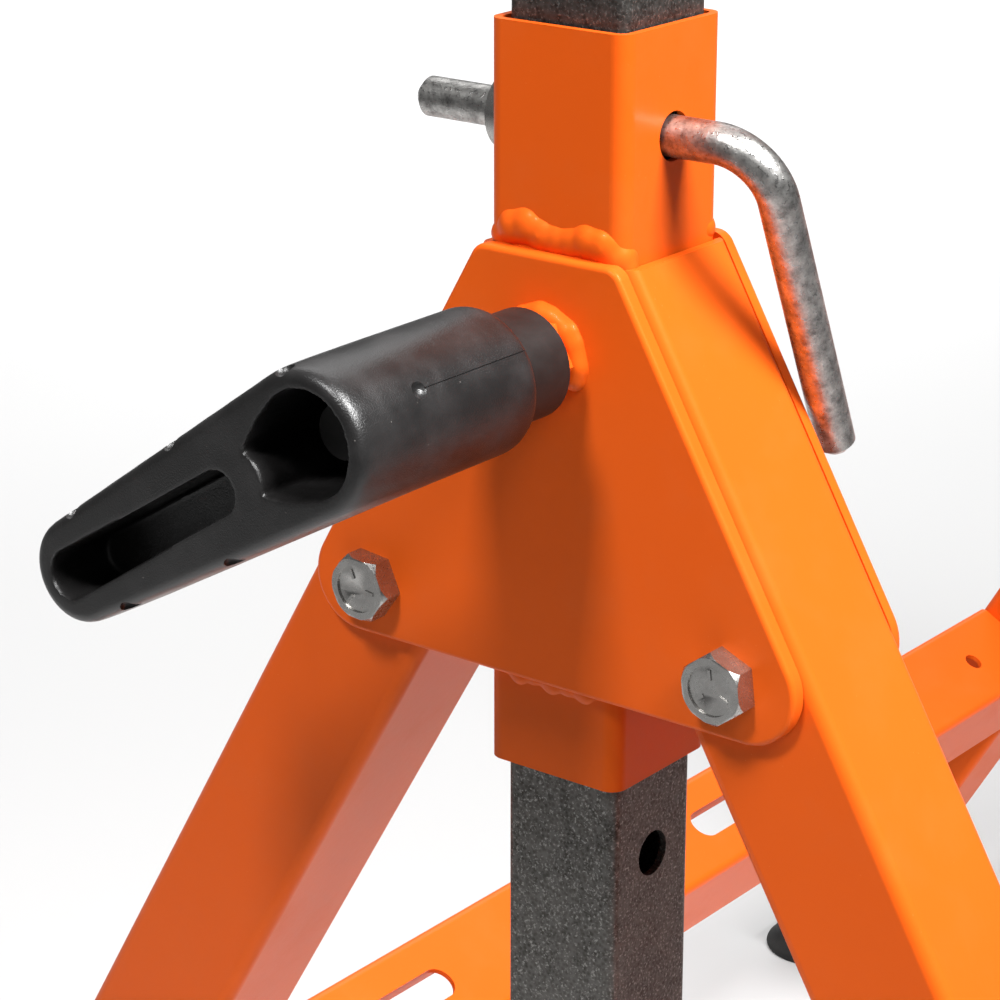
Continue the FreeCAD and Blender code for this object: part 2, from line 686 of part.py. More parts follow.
def make_beam_fasteners(label, end):
    """Cross bolts with nuts that hold the beam on a post."""
    bolts = []
    nuts = []
    y = f"{end} * ({POST_REACH})"
    side = "Sizes.beam_width / 2"
    for level in BOLT_LEVELS:
        name = f"{label}_{level}_beam"
        z = f"Sizes.beam_top - Sizes.beam_bolt_{level}"
        head = hexagon(name + "_head", "Sizes.beam_bolt_flats", "Sizes.beam_bolt_head",
                       (f"-({side}) - Sizes.beam_bolt_head", y, z), TO_RIGHT)
        shank = cylinder(name + "_shank", "Sizes.beam_bolt_radius",
                         "Sizes.beam_width + Sizes.beam_bolt_flats / 2 + Sizes.bolt_point",
                         (f"-({side})", y, z), TO_RIGHT)
        bolts.append(fused(name + "_bolt", [head, shank]))
        blank = hexagon(name + "_nut_blank", "Sizes.beam_bolt_flats", "Sizes.beam_bolt_flats / 2",
                        (side, y, z), TO_RIGHT)
        thread = cylinder(name + "_nut_thread", "Sizes.beam_bolt_radius", "Sizes.beam_bolt_flats / 2",
                          (side, y, z), TO_RIGHT)
        nuts.append(minus(name + "_nut", blank, thread))
    node(on_beam(group(label + "_beam_bolts", bolts)), label + "_beam_bolts")
    node(on_beam(group(label + "_beam_nuts", nuts)), label + "_beam_nuts")


# ---------------------------------------------------------------- lock pins


def make_lock_pin(label, end):
    """Round bar through sleeve and post, bent down into a handle, with both ends chamfered."""
    name = label + "_lock_pin"
    body = new_body(name + "_bar")
    path = new_sketch(body, "XZ_Plane")
    tip = -worth("Sizes.pin_tip_reach")
    bend = worth("Sizes.pin_bend_reach")
    radius = worth("Sizes.pin_bend_radius")
    lean_angle = worth("Sizes.pin_lean")
    centre = FreeCAD.Vector(bend, -radius, 0)
    turned = FreeCAD.Rotation(Z_AXIS, lean_angle)
    leave = centre + turned.multVec(FreeCAD.Vector(radius, 0, 0))
    finish = leave + turned.multVec(FreeCAD.Vector(0, -worth("Sizes.pin_handle"), 0))
    shaft = path.addGeometry(Part.LineSegment(FreeCAD.Vector(tip, 0, 0), FreeCAD.Vector(bend, 0, 0)))
    whole_bend = Part.Circle(centre, Z_AXIS, radius)
    round_bend = path.addGeometry(Part.ArcOfCircle(whole_bend, math.radians(lean_angle), math.pi / 2))
    handle = path.addGeometry(Part.LineSegment(leave, finish))
    path.addConstraint(Sketcher.Constraint("Horizontal", shaft))
    path.addConstraint(Sketcher.Constraint("Tangent", shaft, 2, round_bend, 2))
    path.addConstraint(Sketcher.Constraint("Tangent", round_bend, 1, handle, 1))
    bind(path, "DistanceX", -1, 1, shaft, 1, "-Sizes.pin_tip_reach")
    path.addConstraint(Sketcher.Constraint("PointOnObject", shaft, 1, -1))
    bind(path, "DistanceX", -1, 1, shaft, 2, "Sizes.pin_bend_reach")
    bind(path, "Radius", round_bend, "Sizes.pin_bend_radius")
    bind(path, "Distance", handle, "Sizes.pin_handle")
    bind(path, "DistanceX", handle, 1, handle, 2, "Sizes.pin_handle * sin(Sizes.pin_lean)")
    section = new_sketch(body, "YZ_Plane", "-Sizes.pin_tip_reach")
    circle(section, "0", "0", "Sizes.pin_radius")
    doc.recompute()
    pipe = body.newObject("PartDesign::AdditivePipe", name + "_pipe")
    pipe.Profile = section
    pipe.Spine = (path, [])
    doc.recompute()
    ends = []
    for number, edge in enumerate(pipe.Shape.Edges, start=1):
        centre_x = edge.CenterOfMass.x
        if centre_x < tip + STRAIGHT or abs(centre_x - finish.x) < STRAIGHT:
            ends.append(f"Edge{number}")
    chamfer = body.newObject("PartDesign::Chamfer", name + "_chamfer")
    chamfer.Base = (pipe, ends)
    follow(chamfer, "Size", "Sizes.pin_chamfer")
    doc.recompute()
    body.Placement = FreeCAD.Placement(FreeCAD.Vector(), FreeCAD.Rotation(X_AXIS, worth("Sizes.pin_roll")))
    follow(body, "Placement.Base.z", "-Sizes.pin_hole_drop")
    node(stand_on_head(group(name, [body]), end), name)


# ---------------------------------------------------------------- clamps

COLLAR_START = f"({PLATE_FACE} + Sizes.weld_nut_thick + Sizes.stud_gap)"
HUB_START = f"({COLLAR_START} + Sizes.collar_length + Sizes.stud_gap)"
HUB_END = f"({HUB_START} + Sizes.hub_length)"
WEB_FRONT = f"({HUB_END} - Sizes.recess_depth)"


def make_stud(label, end):
    """Threaded stud: its tip presses on the post, and its back end is fixed in the collar."""
    name = label + "_clamp_stud"
    tip = "(Sizes.post_width / 2 - Sizes.post_shift + 2 * Sizes.stud_gap)"
    rod = cylinder(name + "_rod", "Sizes.stud_radius", f"{COLLAR_START} + Sizes.collar_length - {tip}",
                   ("0", f"-{tip}", "-Sizes.clamp_drop"), OUTWARD)
    node(stand_on_head(group(name, [rod]), end), name)


def make_collar(label, end):
    """Steel collar on the stud, with a toothed neck that carries the lever."""
    name = label + "_clamp_collar"
    z = "-Sizes.clamp_drop"
    ring = cylinder(name + "_ring", "Sizes.collar_radius", "Sizes.collar_length",
                    ("0", f"-{COLLAR_START}", z), OUTWARD)
    neck = cylinder(name + "_neck", "Sizes.neck_radius", "Sizes.neck_length",
                    ("0", f"-{COLLAR_START} - Sizes.collar_length", z), OUTWARD)
    bore = cylinder(name + "_bore", "Sizes.stud_radius", "Sizes.collar_length",
                    ("0", f"-{COLLAR_START}", z), OUTWARD)
    tapping = cylinder(name + "_tapping", "Sizes.screw_radius", "Sizes.neck_length",
                       ("0", f"-{COLLAR_START} - Sizes.collar_length", z), OUTWARD)
    collar = minus(name, fused(name + "_solid", [ring, neck]), fused(name + "_holes", [bore, tapping]))
    node(stand_on_head(collar, end), name)


def make_retaining_screw(label, end):
    """Screw in the neck; its head keeps the spring and the lever on the collar."""
    name = label + "_retaining_screw"
    z = "-Sizes.clamp_drop"
    head_start = f"({WEB_FRONT} + Sizes.spring_length)"
    start = f"({COLLAR_START} + Sizes.collar_length)"
    shank = cylinder(name + "_shank", "Sizes.screw_radius", f"{head_start} - {start}",
                     ("0", f"-{start}", z), OUTWARD)
    head = cylinder(name + "_head", "Sizes.screw_head_radius", "Sizes.screw_head_thick",
                    ("0", f"-{head_start}", z), OUTWARD)
    node(stand_on_head(fused(name, [shank, head]), end), name)


def make_spring(label, end):
    """Coil spring between the lever's inner web and the screw head."""
    name = label + "_lever_spring"
    coil = primitive("Helix", name + "_coil",
                     {"Radius": "Sizes.spring_radius", "Pitch": "Sizes.spring_pitch",
                      "Height": "Sizes.spring_length - 2 * Sizes.spring_wire - 2 * Sizes.fit_gap"})
    coil.SegmentLength = TURNS_PER_EDGE
    rise = math.degrees(math.atan2(worth("Sizes.spring_pitch"), 2 * math.pi * worth("Sizes.spring_radius")))
    wire = primitive("Circle", name + "_wire", {"Radius": "Sizes.spring_wire"},
                     ("Sizes.spring_radius", "0", "0"), (X_AXIS, rise - QUARTER_TURN))
    doc.recompute()
    sweep = doc.addObject("Part::Sweep", name + "_turns")
    sweep.Sections = [wire]
    sweep.Spine = (coil, [f"Edge{number}" for number in range(1, len(coil.Shape.Edges) + 1)])
    sweep.Solid = True
    sweep.Frenet = True
    sweep.Placement = FreeCAD.Placement(FreeCAD.Vector(), FreeCAD.Rotation(*OUTWARD))
    follow(sweep, "Placement.Base.y", f"-{WEB_FRONT} - Sizes.spring_wire - Sizes.fit_gap")
    follow(sweep, "Placement.Base.z", "-Sizes.clamp_drop")
    node(stand_on_head(group(name, [sweep]), end), name)


def make_lever(label, end):
    """Clamp lever: a round hub with an open recess, and a tapering hollow arm."""
    name = label + "_clamp_lever"
    body = new_body(name)
    hub = new_sketch(body, "XZ_Plane", HUB_START)
    circle(hub, "0", "0", "Sizes.hub_radius")
    pad(body, hub, "Sizes.hub_length")
    arm = new_sketch(body, "XZ_Plane", f"{HUB_END} - Sizes.arm_thick")
    end_reach = "(Sizes.arm_reach + Sizes.arm_tip_radius)"
    root = "Sizes.hub_radius"
    tip = f"(Sizes.hub_radius - (Sizes.hub_radius - Sizes.arm_tip_radius) * {end_reach} / Sizes.arm_reach)"
    outline(arm, [("0", f"-{root}"), ("0", root), (f"-{end_reach}", tip), (f"-{end_reach}", f"-{tip}")])
    pad(body, arm, "Sizes.arm_thick")
    far = -worth("Sizes.arm_reach")
    round_edges(body, Y_AXIS, f"{tip} - Sizes.fit_gap", lambda spot: spot.x < far)
    slot = new_sketch(body, "XZ_Plane", HUB_END)
    rectangle(slot, "Sizes.arm_slot_end - Sizes.arm_slot_start", "Sizes.arm_slot_width",
              x="-(Sizes.arm_slot_end + Sizes.arm_slot_start) / 2")
    cut(body, slot, "Sizes.arm_slot_depth")
    low = -worth(f"{HUB_END} - Sizes.arm_slot_depth / 2")
    round_edges(body, Y_AXIS, "Sizes.arm_slot_width / 2 - Sizes.fit_gap",
                lambda spot: abs(spot.y - low) < 1 and abs(spot.z) < worth("Sizes.arm_slot_width"))
    drill(body, "XZ_Plane", [("0", "0")], "Sizes.recess_radius", "Sizes.recess_depth",
          offset=HUB_END, symmetric=False)
    drill(body, "XZ_Plane", [("0", "0")], "Sizes.screw_radius + 2 * Sizes.fit_gap", "Sizes.hub_length",
          offset=WEB_FRONT, symmetric=False)
    neck_end = f"{COLLAR_START} + Sizes.collar_length + Sizes.neck_length"
    drill(body, "XZ_Plane", [("0", "0")], "Sizes.neck_radius + 2 * Sizes.fit_gap", "Sizes.hub_length",
          offset=f"{neck_end} + 2 * Sizes.stud_gap", symmetric=False)
    turn = HALF_TURN if end == REAR else 0
    spin = FreeCAD.Rotation(Z_AXIS, turn).multiply(FreeCAD.Rotation(Y_AXIS, -worth("Sizes.lever_angle")))
    body.Placement = FreeCAD.Placement(FreeCAD.Vector(), spin)
    follow(body, "Placement.Base.y", f"{end} * Sizes.frame_spacing / 2")
    follow(body, "Placement.Base.z", "Sizes.head_height - Sizes.clamp_drop")
    node(body, name)


# ---------------------------------------------------------------- assembly

for label, end in ENDS.items():
    make_sleeve(label, end)
    make_gusset(label, end, True)
    make_gusset(label, end, False)
    make_weld_nut(label, end)
    make_pin_bush(label, end)
    make_pivot_fasteners(label, end)
    make_post(label, end)
    make_post_plug(label, end)
    make_beam_cap(label, end)
    make_beam_fasteners(label, end)
    make_lock_pin(label, end)
    make_stud(label, end)
    make_collar(label, end)
    make_retaining_screw(label, end)
    make_spring(label, end)
    make_lever(label, end)
    for word, side in SIDES.items():
        make_leg(label, end, word, side)
        make_foot(label, end, word, side)
for word, side in SIDES.items():
    make_rail(word, side)
make_beam()
make_grip()
doc.recompute()

# ---------------------------------------------------------------- checks and export

for item in doc.Objects:
    if "Invalid" in item.State or "Error" in item.State:
        raise RuntimeError(f"{item.Name} failed to recompute: {item.State}")
for part in nodes:
    if part.Shape.isNull() or not part.Shape.isValid():
        raise RuntimeError(f"{part.Label} has no valid shape")
    part.Shape.exportStep(f"parts/{part.Label}.step")
    box = part.Shape.BoundBox
    print(f"{part.Label:22s} {len(part.Shape.Solids)} solid(s), {box.XLength:6.1f} x {box.YLength:6.1f}"
          f" x {box.ZLength:6.1f} mm, lowest point {box.ZMin:6.1f}")
print(f"{len(nodes)} nodes")
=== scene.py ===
# %% [markdown]
# # A folding sawhorse
# The stand has two identical heads. Each head is a square sleeve between two welded plates, with a
# sliding post inside, two folding legs, a bent lock pin and a black clamp lever. The CAD frame already
# holds every piece at its real size, so this script only adds what makes it look real: the moulded
# lever, rounded rubber feet, bolt heads with their stamped faces, weld beads, and every finish.

# %% Load the frame
import json
import math
import bpy
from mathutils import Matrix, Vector


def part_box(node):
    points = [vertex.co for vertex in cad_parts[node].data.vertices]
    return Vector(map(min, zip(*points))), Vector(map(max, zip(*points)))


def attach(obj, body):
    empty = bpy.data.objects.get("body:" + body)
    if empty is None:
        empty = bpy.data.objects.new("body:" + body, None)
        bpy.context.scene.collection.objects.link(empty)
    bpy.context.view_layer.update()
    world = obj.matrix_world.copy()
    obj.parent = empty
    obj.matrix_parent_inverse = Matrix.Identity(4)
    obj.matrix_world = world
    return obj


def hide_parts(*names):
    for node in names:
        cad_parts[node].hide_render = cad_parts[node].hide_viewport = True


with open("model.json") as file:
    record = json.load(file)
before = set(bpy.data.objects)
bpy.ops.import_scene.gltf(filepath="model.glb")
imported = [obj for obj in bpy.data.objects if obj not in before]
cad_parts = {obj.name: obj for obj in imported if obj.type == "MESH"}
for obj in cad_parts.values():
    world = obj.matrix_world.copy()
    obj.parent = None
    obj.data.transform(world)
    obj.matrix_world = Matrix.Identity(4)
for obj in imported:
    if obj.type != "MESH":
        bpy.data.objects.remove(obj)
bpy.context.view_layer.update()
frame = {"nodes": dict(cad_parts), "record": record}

# %% [markdown]
# Most sizes come from the frame. `edge` reads one side of a node's box, and a few named centres are
# worked out once: the sleeve's middle and top, the clamp's axis and the leg pivots. The front head is
# the one modelled; a half turn about the upright axis carries anything on it to the rear head.

# %% Places on the front head
MM = 0.001
FRONT, REAR = "front", "rear"


def edge(node, axis, side):
    """One side of a node's box: axis 0, 1 or 2, side 0 for the low one and 1 for the high one."""
    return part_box(node)[side][axis]


def middle(node, axis):
    """The middle of a node's box along one axis."""
    return (edge(node, axis, 0) + edge(node, axis, 1)) / 2


head_y = middle("front_sleeve", 1)
sleeve_top = edge("front_sleeve", 2, 1)
sleeve_foot = edge("front_sleeve", 2, 0)
plate_face = edge("front_outer_gusset", 1, 0)
clamp_z = middle("front_clamp_nut", 2)
print(f"front head at y {head_y:.3f}, sleeve from {sleeve_foot:.3f} to {sleeve_top:.3f}")
print(f"clamp at {clamp_z:.3f}")

# %% [markdown]
# ## The camera
# The stand is seen close up, from the front right and a little above, through a long lens. The camera
# is placed from the sleeve's top: a step to the right, well forward and slightly above it, then turned
# left and tipped down. No shift and no depth of field, so that every other view keeps its framing.

# %% Camera
CAMERA_FROM_SLEEVE_TOP = Vector((0.4248, -0.5858, 0.1344))
CAMERA_TURN = math.radians(37.92)
CAMERA_TIP = math.radians(19.44)
CAMERA_LENS = 111.64

camera_data = bpy.data.cameras.new("camera")
camera_data.lens = CAMERA_LENS
camera_data.clip_start = 0.01
camera = bpy.data.objects.new("camera", camera_data)
bpy.context.scene.collection.objects.link(camera)
camera.location = Vector((0, head_y, sleeve_top)) + CAMERA_FROM_SLEEVE_TOP
camera.rotation_euler = (math.pi / 2 - CAMERA_TIP, 0, CAMERA_TURN)
bpy.context.scene.camera = camera
print("camera at", [round(v, 3) for v in camera.location])

# %% [markdown]
# ## Floor and light
# A wide pale floor and a dim white sky give a clean studio. The key lamp stands in front and above,
# and makes the lever's shadow fall down the plate. The top lamp, to the right, lights the right-hand
# faces of the tubes, which are the brightest part of the paint. A wide third lamp lights the floor
# behind the stand.

# %% Floor
def deselect():
    """Nothing selected and no mesh open, so that the next operator only acts on what it is given."""
    if bpy.context.mode != "OBJECT":
        bpy.ops.object.mode_set(mode="OBJECT")
    bpy.ops.object.select_all(action="DESELECT")


deselect()
FLOOR_SIZE = 60
bpy.ops.mesh.primitive_plane_add(size=FLOOR_SIZE, location=(0, 0, 0))
floor = bpy.context.object
floor.name = "studio_floor"
print("floor", FLOOR_SIZE, "m wide")


# %% Lamps
def soft_lamp(name, place, target, width, watts, spread):
    """A square area lamp that looks at a target; its spread, in degrees, keeps light off the rest."""
    lamp = bpy.data.lights.new(name, "AREA")
    lamp.size = width
    lamp.energy = watts
    lamp.spread = math.radians(spread)
    holder = bpy.data.objects.new(name, lamp)
    bpy.context.scene.collection.objects.link(holder)
    holder.location = place
    holder.rotation_euler = (Vector(target) - Vector(place)).to_track_quat("-Z", "Y").to_euler()


head_centre = (0, head_y, clamp_z)
soft_lamp("key_lamp", (0.0, -1.40, 1.90), head_centre, 0.32, 2.7, 60)
soft_lamp("top_lamp", (0.95, -0.35, 1.75), head_centre, 0.7, 14.5, 75)
soft_lamp("backdrop_lamp", (-1.9, 2.3, 2.4), (-1.7, 2.0, 0), 3.0, 78, 110)

world = bpy.data.worlds.new("studio_sky")
bpy.context.scene.world = world
world.use_nodes = True
SKY_STRENGTH = 0.14
world.node_tree.nodes["Background"].inputs["Color"].default_value = (1, 1, 1, 1)
world.node_tree.nodes["Background"].inputs["Strength"].default_value = SKY_STRENGTH
bpy.context.scene.view_settings.view_transform = "Standard"
print("three lamps and a pale sky")

# %% [markdown]
# ## A small language for finishes
# A finish is a network of nodes, and most of it is arithmetic on numbers that change over the surface.
# `Wire` wraps one socket so that `a * 0.5 + b` adds the Math nodes by itself. `Finish` makes a material,
# and its single `add` method makes every other node: settings first, then the values or wires that
# feed its sockets.

# %% Finish and wire
class Wire:
    """One output socket, which can be used in sums."""

    def __init__(self, finish, socket):
        self.finish = finish
        self.socket = socket

    def sum_node(self, operation, first, second):
        return self.finish.add("ShaderNodeMath", {"operation": operation}, {0: first, 1: second})

    def __add__(self, other):
        return self.sum_node("ADD", self, other)

    def __sub__(self, other):
        return self.sum_node("SUBTRACT", self, other)

    def __rsub__(self, other):
        return self.sum_node("SUBTRACT", other, self)

    def __mul__(self, other):
        return self.sum_node("MULTIPLY", self, other)

    __radd__ = __add__
    __rmul__ = __mul__


class Finish:
    """A material with a Principled shader, built a node at a time."""

    def __init__(self, name, constants):
        self.material = bpy.data.materials.new(name)
        self.material.use_nodes = True
        self.tree = self.material.node_tree
        self.shader = self.tree.nodes["Principled BSDF"]
        for socket, value in constants.items():
            self.shader.inputs[socket].default_value = value
        self.place = self.add("ShaderNodeTexCoord", {}, {}, "Object")

    def add(self, kind, settings, feeds, output=0):
        node = self.tree.nodes.new(kind)
        for setting, value in settings.items():
            setattr(node, setting, value)
        for socket, feed in feeds.items():
            self.feed(node.inputs[socket], feed)
        return Wire(self, node.outputs[output])

    def feed(self, socket, feed):
        if isinstance(feed, Wire):
            self.tree.links.new(feed.socket, socket)
        else:
            socket.default_value = feed

    def set(self, socket, feed):
        """Let something that changes over the surface drive a socket of the shader."""
        self.feed(self.shader.inputs[socket], feed)

    def noise(self, scale, detail=2.0, roughness=0.5, distortion=0.0):
        """Soft random values round 0.5; scale is patches per metre."""
        feeds = {"Vector": self.place, "Scale": scale, "Detail": detail,
                 "Roughness": roughness, "Distortion": distortion}
        return self.add("ShaderNodeTexNoise", {}, feeds, "Fac")

    def cells(self, scale):
        """Values that grow away from scattered points; scale is points per metre."""
        return self.add("ShaderNodeTexVoronoi", {}, {"Vector": self.place, "Scale": scale}, "Distance")

    def between(self, value, low, high):
        """0 below low, 1 above high, and a straight climb between."""
        feeds = {"Value": value, "From Min": low, "From Max": high}
        return self.add("ShaderNodeMapRange", {}, feeds)

    def mix(self, factor, first, second):
        """A colour between two others."""
        return self.add("ShaderNodeMix", {"data_type": "RGBA"}, {0: factor, 6: first, 7: second}, 2)

    def bump(self, height, depth, strength, under=None):
        """A fine relief, its height times a depth in metres."""
        feeds = {"Height": height, "Distance": depth, "Strength": strength}
        if under:
            feeds["Normal"] = under
        return self.add("ShaderNodeBump", {}, feeds, "Normal")


print("finishes are ready to make")

# %% [markdown]
# ## Powder coat
# Orange powder coat is a thick baked film. It flows over edges and welds, shines softly, and has a very
# slight "orange peel" waviness. Dust specks and small scuffs break it up. The colour itself hardly
# varies, so the life comes from the sheen: a thin coat over a rougher base, and a shallow bump. The
# sheen of the base is tinted a little with the colour of the paint.

# %% Orange powder coat
def powder_coat():
    sheen = {"Coat Weight": 0.03, "Coat Roughness": 0.08, "Specular IOR Level": 0.26,
             "Specular Tint": (1.0, 0.50, 0.16, 1)}
    finish = Finish("orange_powder_coat", sheen)
    cloud = finish.noise(9, 3)
    grime = finish.between(finish.noise(38, 6, 0.62), 0.5, 0.78)
    speck = finish.between(finish.cells(420), 0.07, 0.03) * finish.between(finish.noise(55, 2), 0.52, 0.62)
    deep = finish.mix(cloud, (0.68, 0.088, 0.006, 1), (0.76, 0.108, 0.009, 1))
    dusted = finish.mix(grime * 0.10, deep, (0.60, 0.16, 0.05, 1))
    finish.set("Base Color", finish.mix(speck * 0.35, dusted, (0.85, 0.30, 0.10, 1)))
    finish.set("Roughness", 0.36 + grime * 0.10 + cloud * 0.05)
    peel = finish.bump(finish.noise(420, 2, 0.45), 0.00008, 0.35)
    finish.set("Normal", finish.bump(finish.noise(60, 2), 0.0005, 0.14, peel))
    return finish.material


# %% [markdown]
# ## Galvanised and plated steel
# Hot-dip zinc weathers to a dull grey with fine bright and dark flecks, which a Voronoi pattern gives
# well. The bolts, washers and bush are plated with a thin bright zinc film: the same metal, smoother,
# with only a faint cloudiness and hair-fine scratches.

# %% Zinc finishes
def galvanised():
    finish = Finish("galvanised_steel", {"Metallic": 0.85})
    fleck = finish.cells(900)
    mottle = finish.noise(160, 5, 0.65)
    spark = finish.between(finish.noise(1400, 2, 0.6), 0.56, 0.70)
    shade = finish.mix(finish.between(mottle, 0.36, 0.66), (0.040, 0.036, 0.032, 1), (0.105, 0.098, 0.090, 1))
    flecked = finish.mix(finish.between(fleck, 0.25, 0.75) * 0.4, shade, (0.19, 0.185, 0.176, 1))
    finish.set("Base Color", finish.mix(spark * 0.55, flecked, (0.42, 0.41, 0.39, 1)))
    finish.set("Roughness", 0.36 + mottle * 0.26 - spark * 0.14)
    finish.set("Normal", finish.bump(mottle + spark * 0.6, 0.00012, 0.55))
    return finish.material


def drawn_zinc():
    """Plated round bar: brighter than the posts, with the mottling of a drawn and tumbled surface."""
    finish = Finish("drawn_zinc", {"Metallic": 0.95})
    mottle = finish.between(finish.noise(260, 6, 0.72), 0.34, 0.68)
    spark = finish.between(finish.noise(1100, 3, 0.6), 0.52, 0.66)
    finish.set("Base Color", finish.mix(mottle, (0.17, 0.165, 0.16, 1), (0.60, 0.59, 0.57, 1)))
    finish.set("Roughness", 0.38 - spark * 0.16)
    finish.set("Normal", finish.bump(mottle + spark * 0.5, 0.00010, 0.5))
    return finish.material


def bright_zinc():
    finish = Finish("bright_zinc", {"Metallic": 0.95})
    cloud = finish.noise(130, 4, 0.6)
    scratch = finish.between(finish.noise(900, 3, 0.7, 1.5), 0.55, 0.75)
    finish.set("Base Color", finish.mix(cloud, (0.26, 0.25, 0.24, 1), (0.58, 0.57, 0.55, 1)))
    finish.set("Roughness", 0.17 + cloud * 0.16 + scratch * 0.12)
    finish.set("Normal", finish.bump(finish.noise(500, 3), 0.00006, 0.45))
    return finish.material


def black_steel():
    finish = Finish("black_steel", {"Metallic": 0.55})
    cloud = finish.noise(180, 4, 0.6)
    finish.set("Base Color", finish.mix(cloud, (0.012, 0.012, 0.012, 1), (0.035, 0.033, 0.032, 1)))
    finish.set("Roughness", 0.34 + cloud * 0.2)
    finish.set("Normal", finish.bump(finish.noise(900, 3), 0.00005, 0.5))
    return finish.material


# %% [markdown]
# ## Black plastic and rubber
# The lever is glass-filled nylon from a spark-eroded mould, so its skin has a fine even grain that
# breaks a highlight into sparkles, and it picks up a few pale dust grains. Rubber is duller and softer,
# with a chalky bloom.

# %% Black mouldings
def grained_plastic():
    finish = Finish("grained_black_plastic", {"Specular IOR Level": 0.55})
    grain = finish.noise(2600, 2, 0.55)
    worn = finish.between(finish.noise(70, 4, 0.6), 0.45, 0.75)
    dust = finish.between(finish.cells(260), 0.055, 0.03) * finish.between(finish.noise(90, 2), 0.50, 0.60)
    skin = finish.mix(worn, (0.010, 0.0095, 0.0095, 1), (0.020, 0.019, 0.019, 1))
    finish.set("Base Color", finish.mix(dust * 0.55, skin, (0.42, 0.38, 0.35, 1)))
    finish.set("Roughness", 0.30 + worn * 0.12 + dust * 0.3)
    finish.set("Normal", finish.bump(grain, 0.00022, 0.42))
    return finish.material


def dull_rubber():
    finish = Finish("dull_rubber", {"Specular IOR Level": 0.35})
    bloom = finish.between(finish.noise(60, 5, 0.6), 0.42, 0.75)
    finish.set("Base Color", finish.mix(bloom, (0.012, 0.012, 0.012, 1), (0.040, 0.038, 0.036, 1)))
    finish.set("Roughness", 0.62 + bloom * 0.22)
    finish.set("Normal", finish.bump(finish.noise(1500, 3), 0.00014, 0.5))
    return finish.material


def studio_grey():
    finish = Finish("studio_floor", {"Roughness": 0.9})
    finish.set("Base Color", finish.mix(finish.noise(0.8, 2), (0.60, 0.60, 0.60, 1), (0.64, 0.64, 0.64, 1)))
    return finish.material


finishes = {
    "orange_paint": powder_coat(),
    "galvanised": galvanised(),
    "drawn_zinc": drawn_zinc(),
    "zinc": bright_zinc(),
    "black_steel": black_steel(),
    "black_plastic": grained_plastic(),
    "rubber": dull_rubber(),
}
floor.data.materials.append(studio_grey())
print(len(finishes), "finishes made")

# %% [markdown]
# ## Finishes on the CAD nodes
# Every node of the frame names a material slot in the record, and each slot has one finish here. The lock pin
# takes drawn zinc instead. The retaining screw and lever spring sit deep in the lever's recess and take black
# steel as painted shade for the dark inside of that recess.

# %% Paint the frame
# Painted shade: the retaining screw and lever spring are made black steel so that they stay as dark as the
# recess they sit in.
FINISHES_AND_PAINTED_SHADE = {"lock_pin": "drawn_zinc", "retaining_screw": "black_steel", "lever_spring": "black_steel"}

for entry in frame["record"]["subparts"]:
    node = frame["nodes"][entry["node"]]
    kind = entry["node"].partition("_")[2]
    for slot in node.material_slots:
        slot.material = finishes[FINISHES_AND_PAINTED_SHADE.get(kind, entry["material_slot"])]

# %% [markdown]
# ## Tools for modelling
# Every added piece starts as a primitive and is then worked on with the ordinary tools. These helpers
# keep that short: one starts a primitive, one applies a modifier at once, one cuts or welds a second
# shape, and one finishes a piece by fixing its normals, its shading, its finish and what it rides on.

# %% Modelling helpers
MERGE_DISTANCE = 0.005 * MM
SMOOTH_ANGLE = math.radians(32)


def take(piece):
    """Make one object the only selected one."""
    deselect()
    piece.select_set(True)
    bpy.context.view_layer.objects.active = piece
    return piece


def start(kind, name, **measures):
    """Add a primitive at its size and place."""
    deselect()
    getattr(bpy.ops.mesh, f"primitive_{kind}_add")(**measures)
    piece = bpy.context.object
    piece.name = name
    return piece


def bar(name, radius, y_from, y_to, x=0, z=0, sides=96):
    """A round bar, or a prism with few sides, that runs along Y between two places."""
    return start("cylinder", name, vertices=sides, radius=radius, depth=abs(y_to - y_from),
                 location=(x, (y_from + y_to) / 2, z), rotation=(math.pi / 2, 0, 0))


def ball(name, radius, place):
    """A ball at a place."""
    return start("uv_sphere", name, segments=20, ring_count=12, radius=radius, location=place)


def join(pieces, name):
    """Several objects made into one, with their shapes untouched."""
    deselect()
    for piece in pieces:
        piece.select_set(True)
    bpy.context.view_layer.objects.active = pieces[0]
    if len(pieces) > 1:
        bpy.ops.object.join()
    bpy.ops.object.transform_apply()
    bpy.context.object.name = name
    return bpy.context.object


def hull(pieces, name):
    """The tight skin round several shapes."""
    piece = join(pieces, name)
    bpy.ops.object.mode_set(mode="EDIT")
    bpy.ops.mesh.select_all(action="SELECT")
    bpy.ops.mesh.convex_hull()
    bpy.ops.object.mode_set(mode="OBJECT")
    return piece


def shape_with(piece, kind, **settings):
    """Add a modifier and apply it at once."""
    take(piece)
    modifier = piece.modifiers.new(kind.lower(), kind)
    for setting, value in settings.items():
        setattr(modifier, setting, value)
    bpy.ops.object.modifier_apply(modifier=modifier.name)
    return piece


def combine(piece, other, operation):
    """Weld a second shape on, cut it away or keep what both share; the second shape is used up."""
    shape_with(piece, "BOOLEAN", object=other, operation=operation, solver="EXACT")
    bpy.data.objects.remove(other)
    return piece


def soften(piece, grain, rounds):
    """Rebuild a shape in small even facets and smooth it, which rounds edges and blends joins."""
    shape_with(piece, "REMESH", mode="VOXEL", voxel_size=grain)
    shape_with(piece, "SMOOTH", factor=0.5, iterations=rounds)
    return piece


def turn(piece, angle, axis, centre):
    """Turn an object about a point."""
    take(piece)
    bpy.ops.transform.rotate(value=angle, orient_axis=axis, center_override=centre)
    return piece


def copy_of(piece, name):
    """A copy with a mesh of its own."""
    take(piece)
    bpy.ops.object.duplicate()
    bpy.context.object.name = name
    return bpy.context.object


def to_rear(piece, name):
    """A copy of a front piece, carried to the rear by a half turn about the upright axis."""
    return turn(copy_of(piece, name), math.pi, "Z", (0, 0, 0))


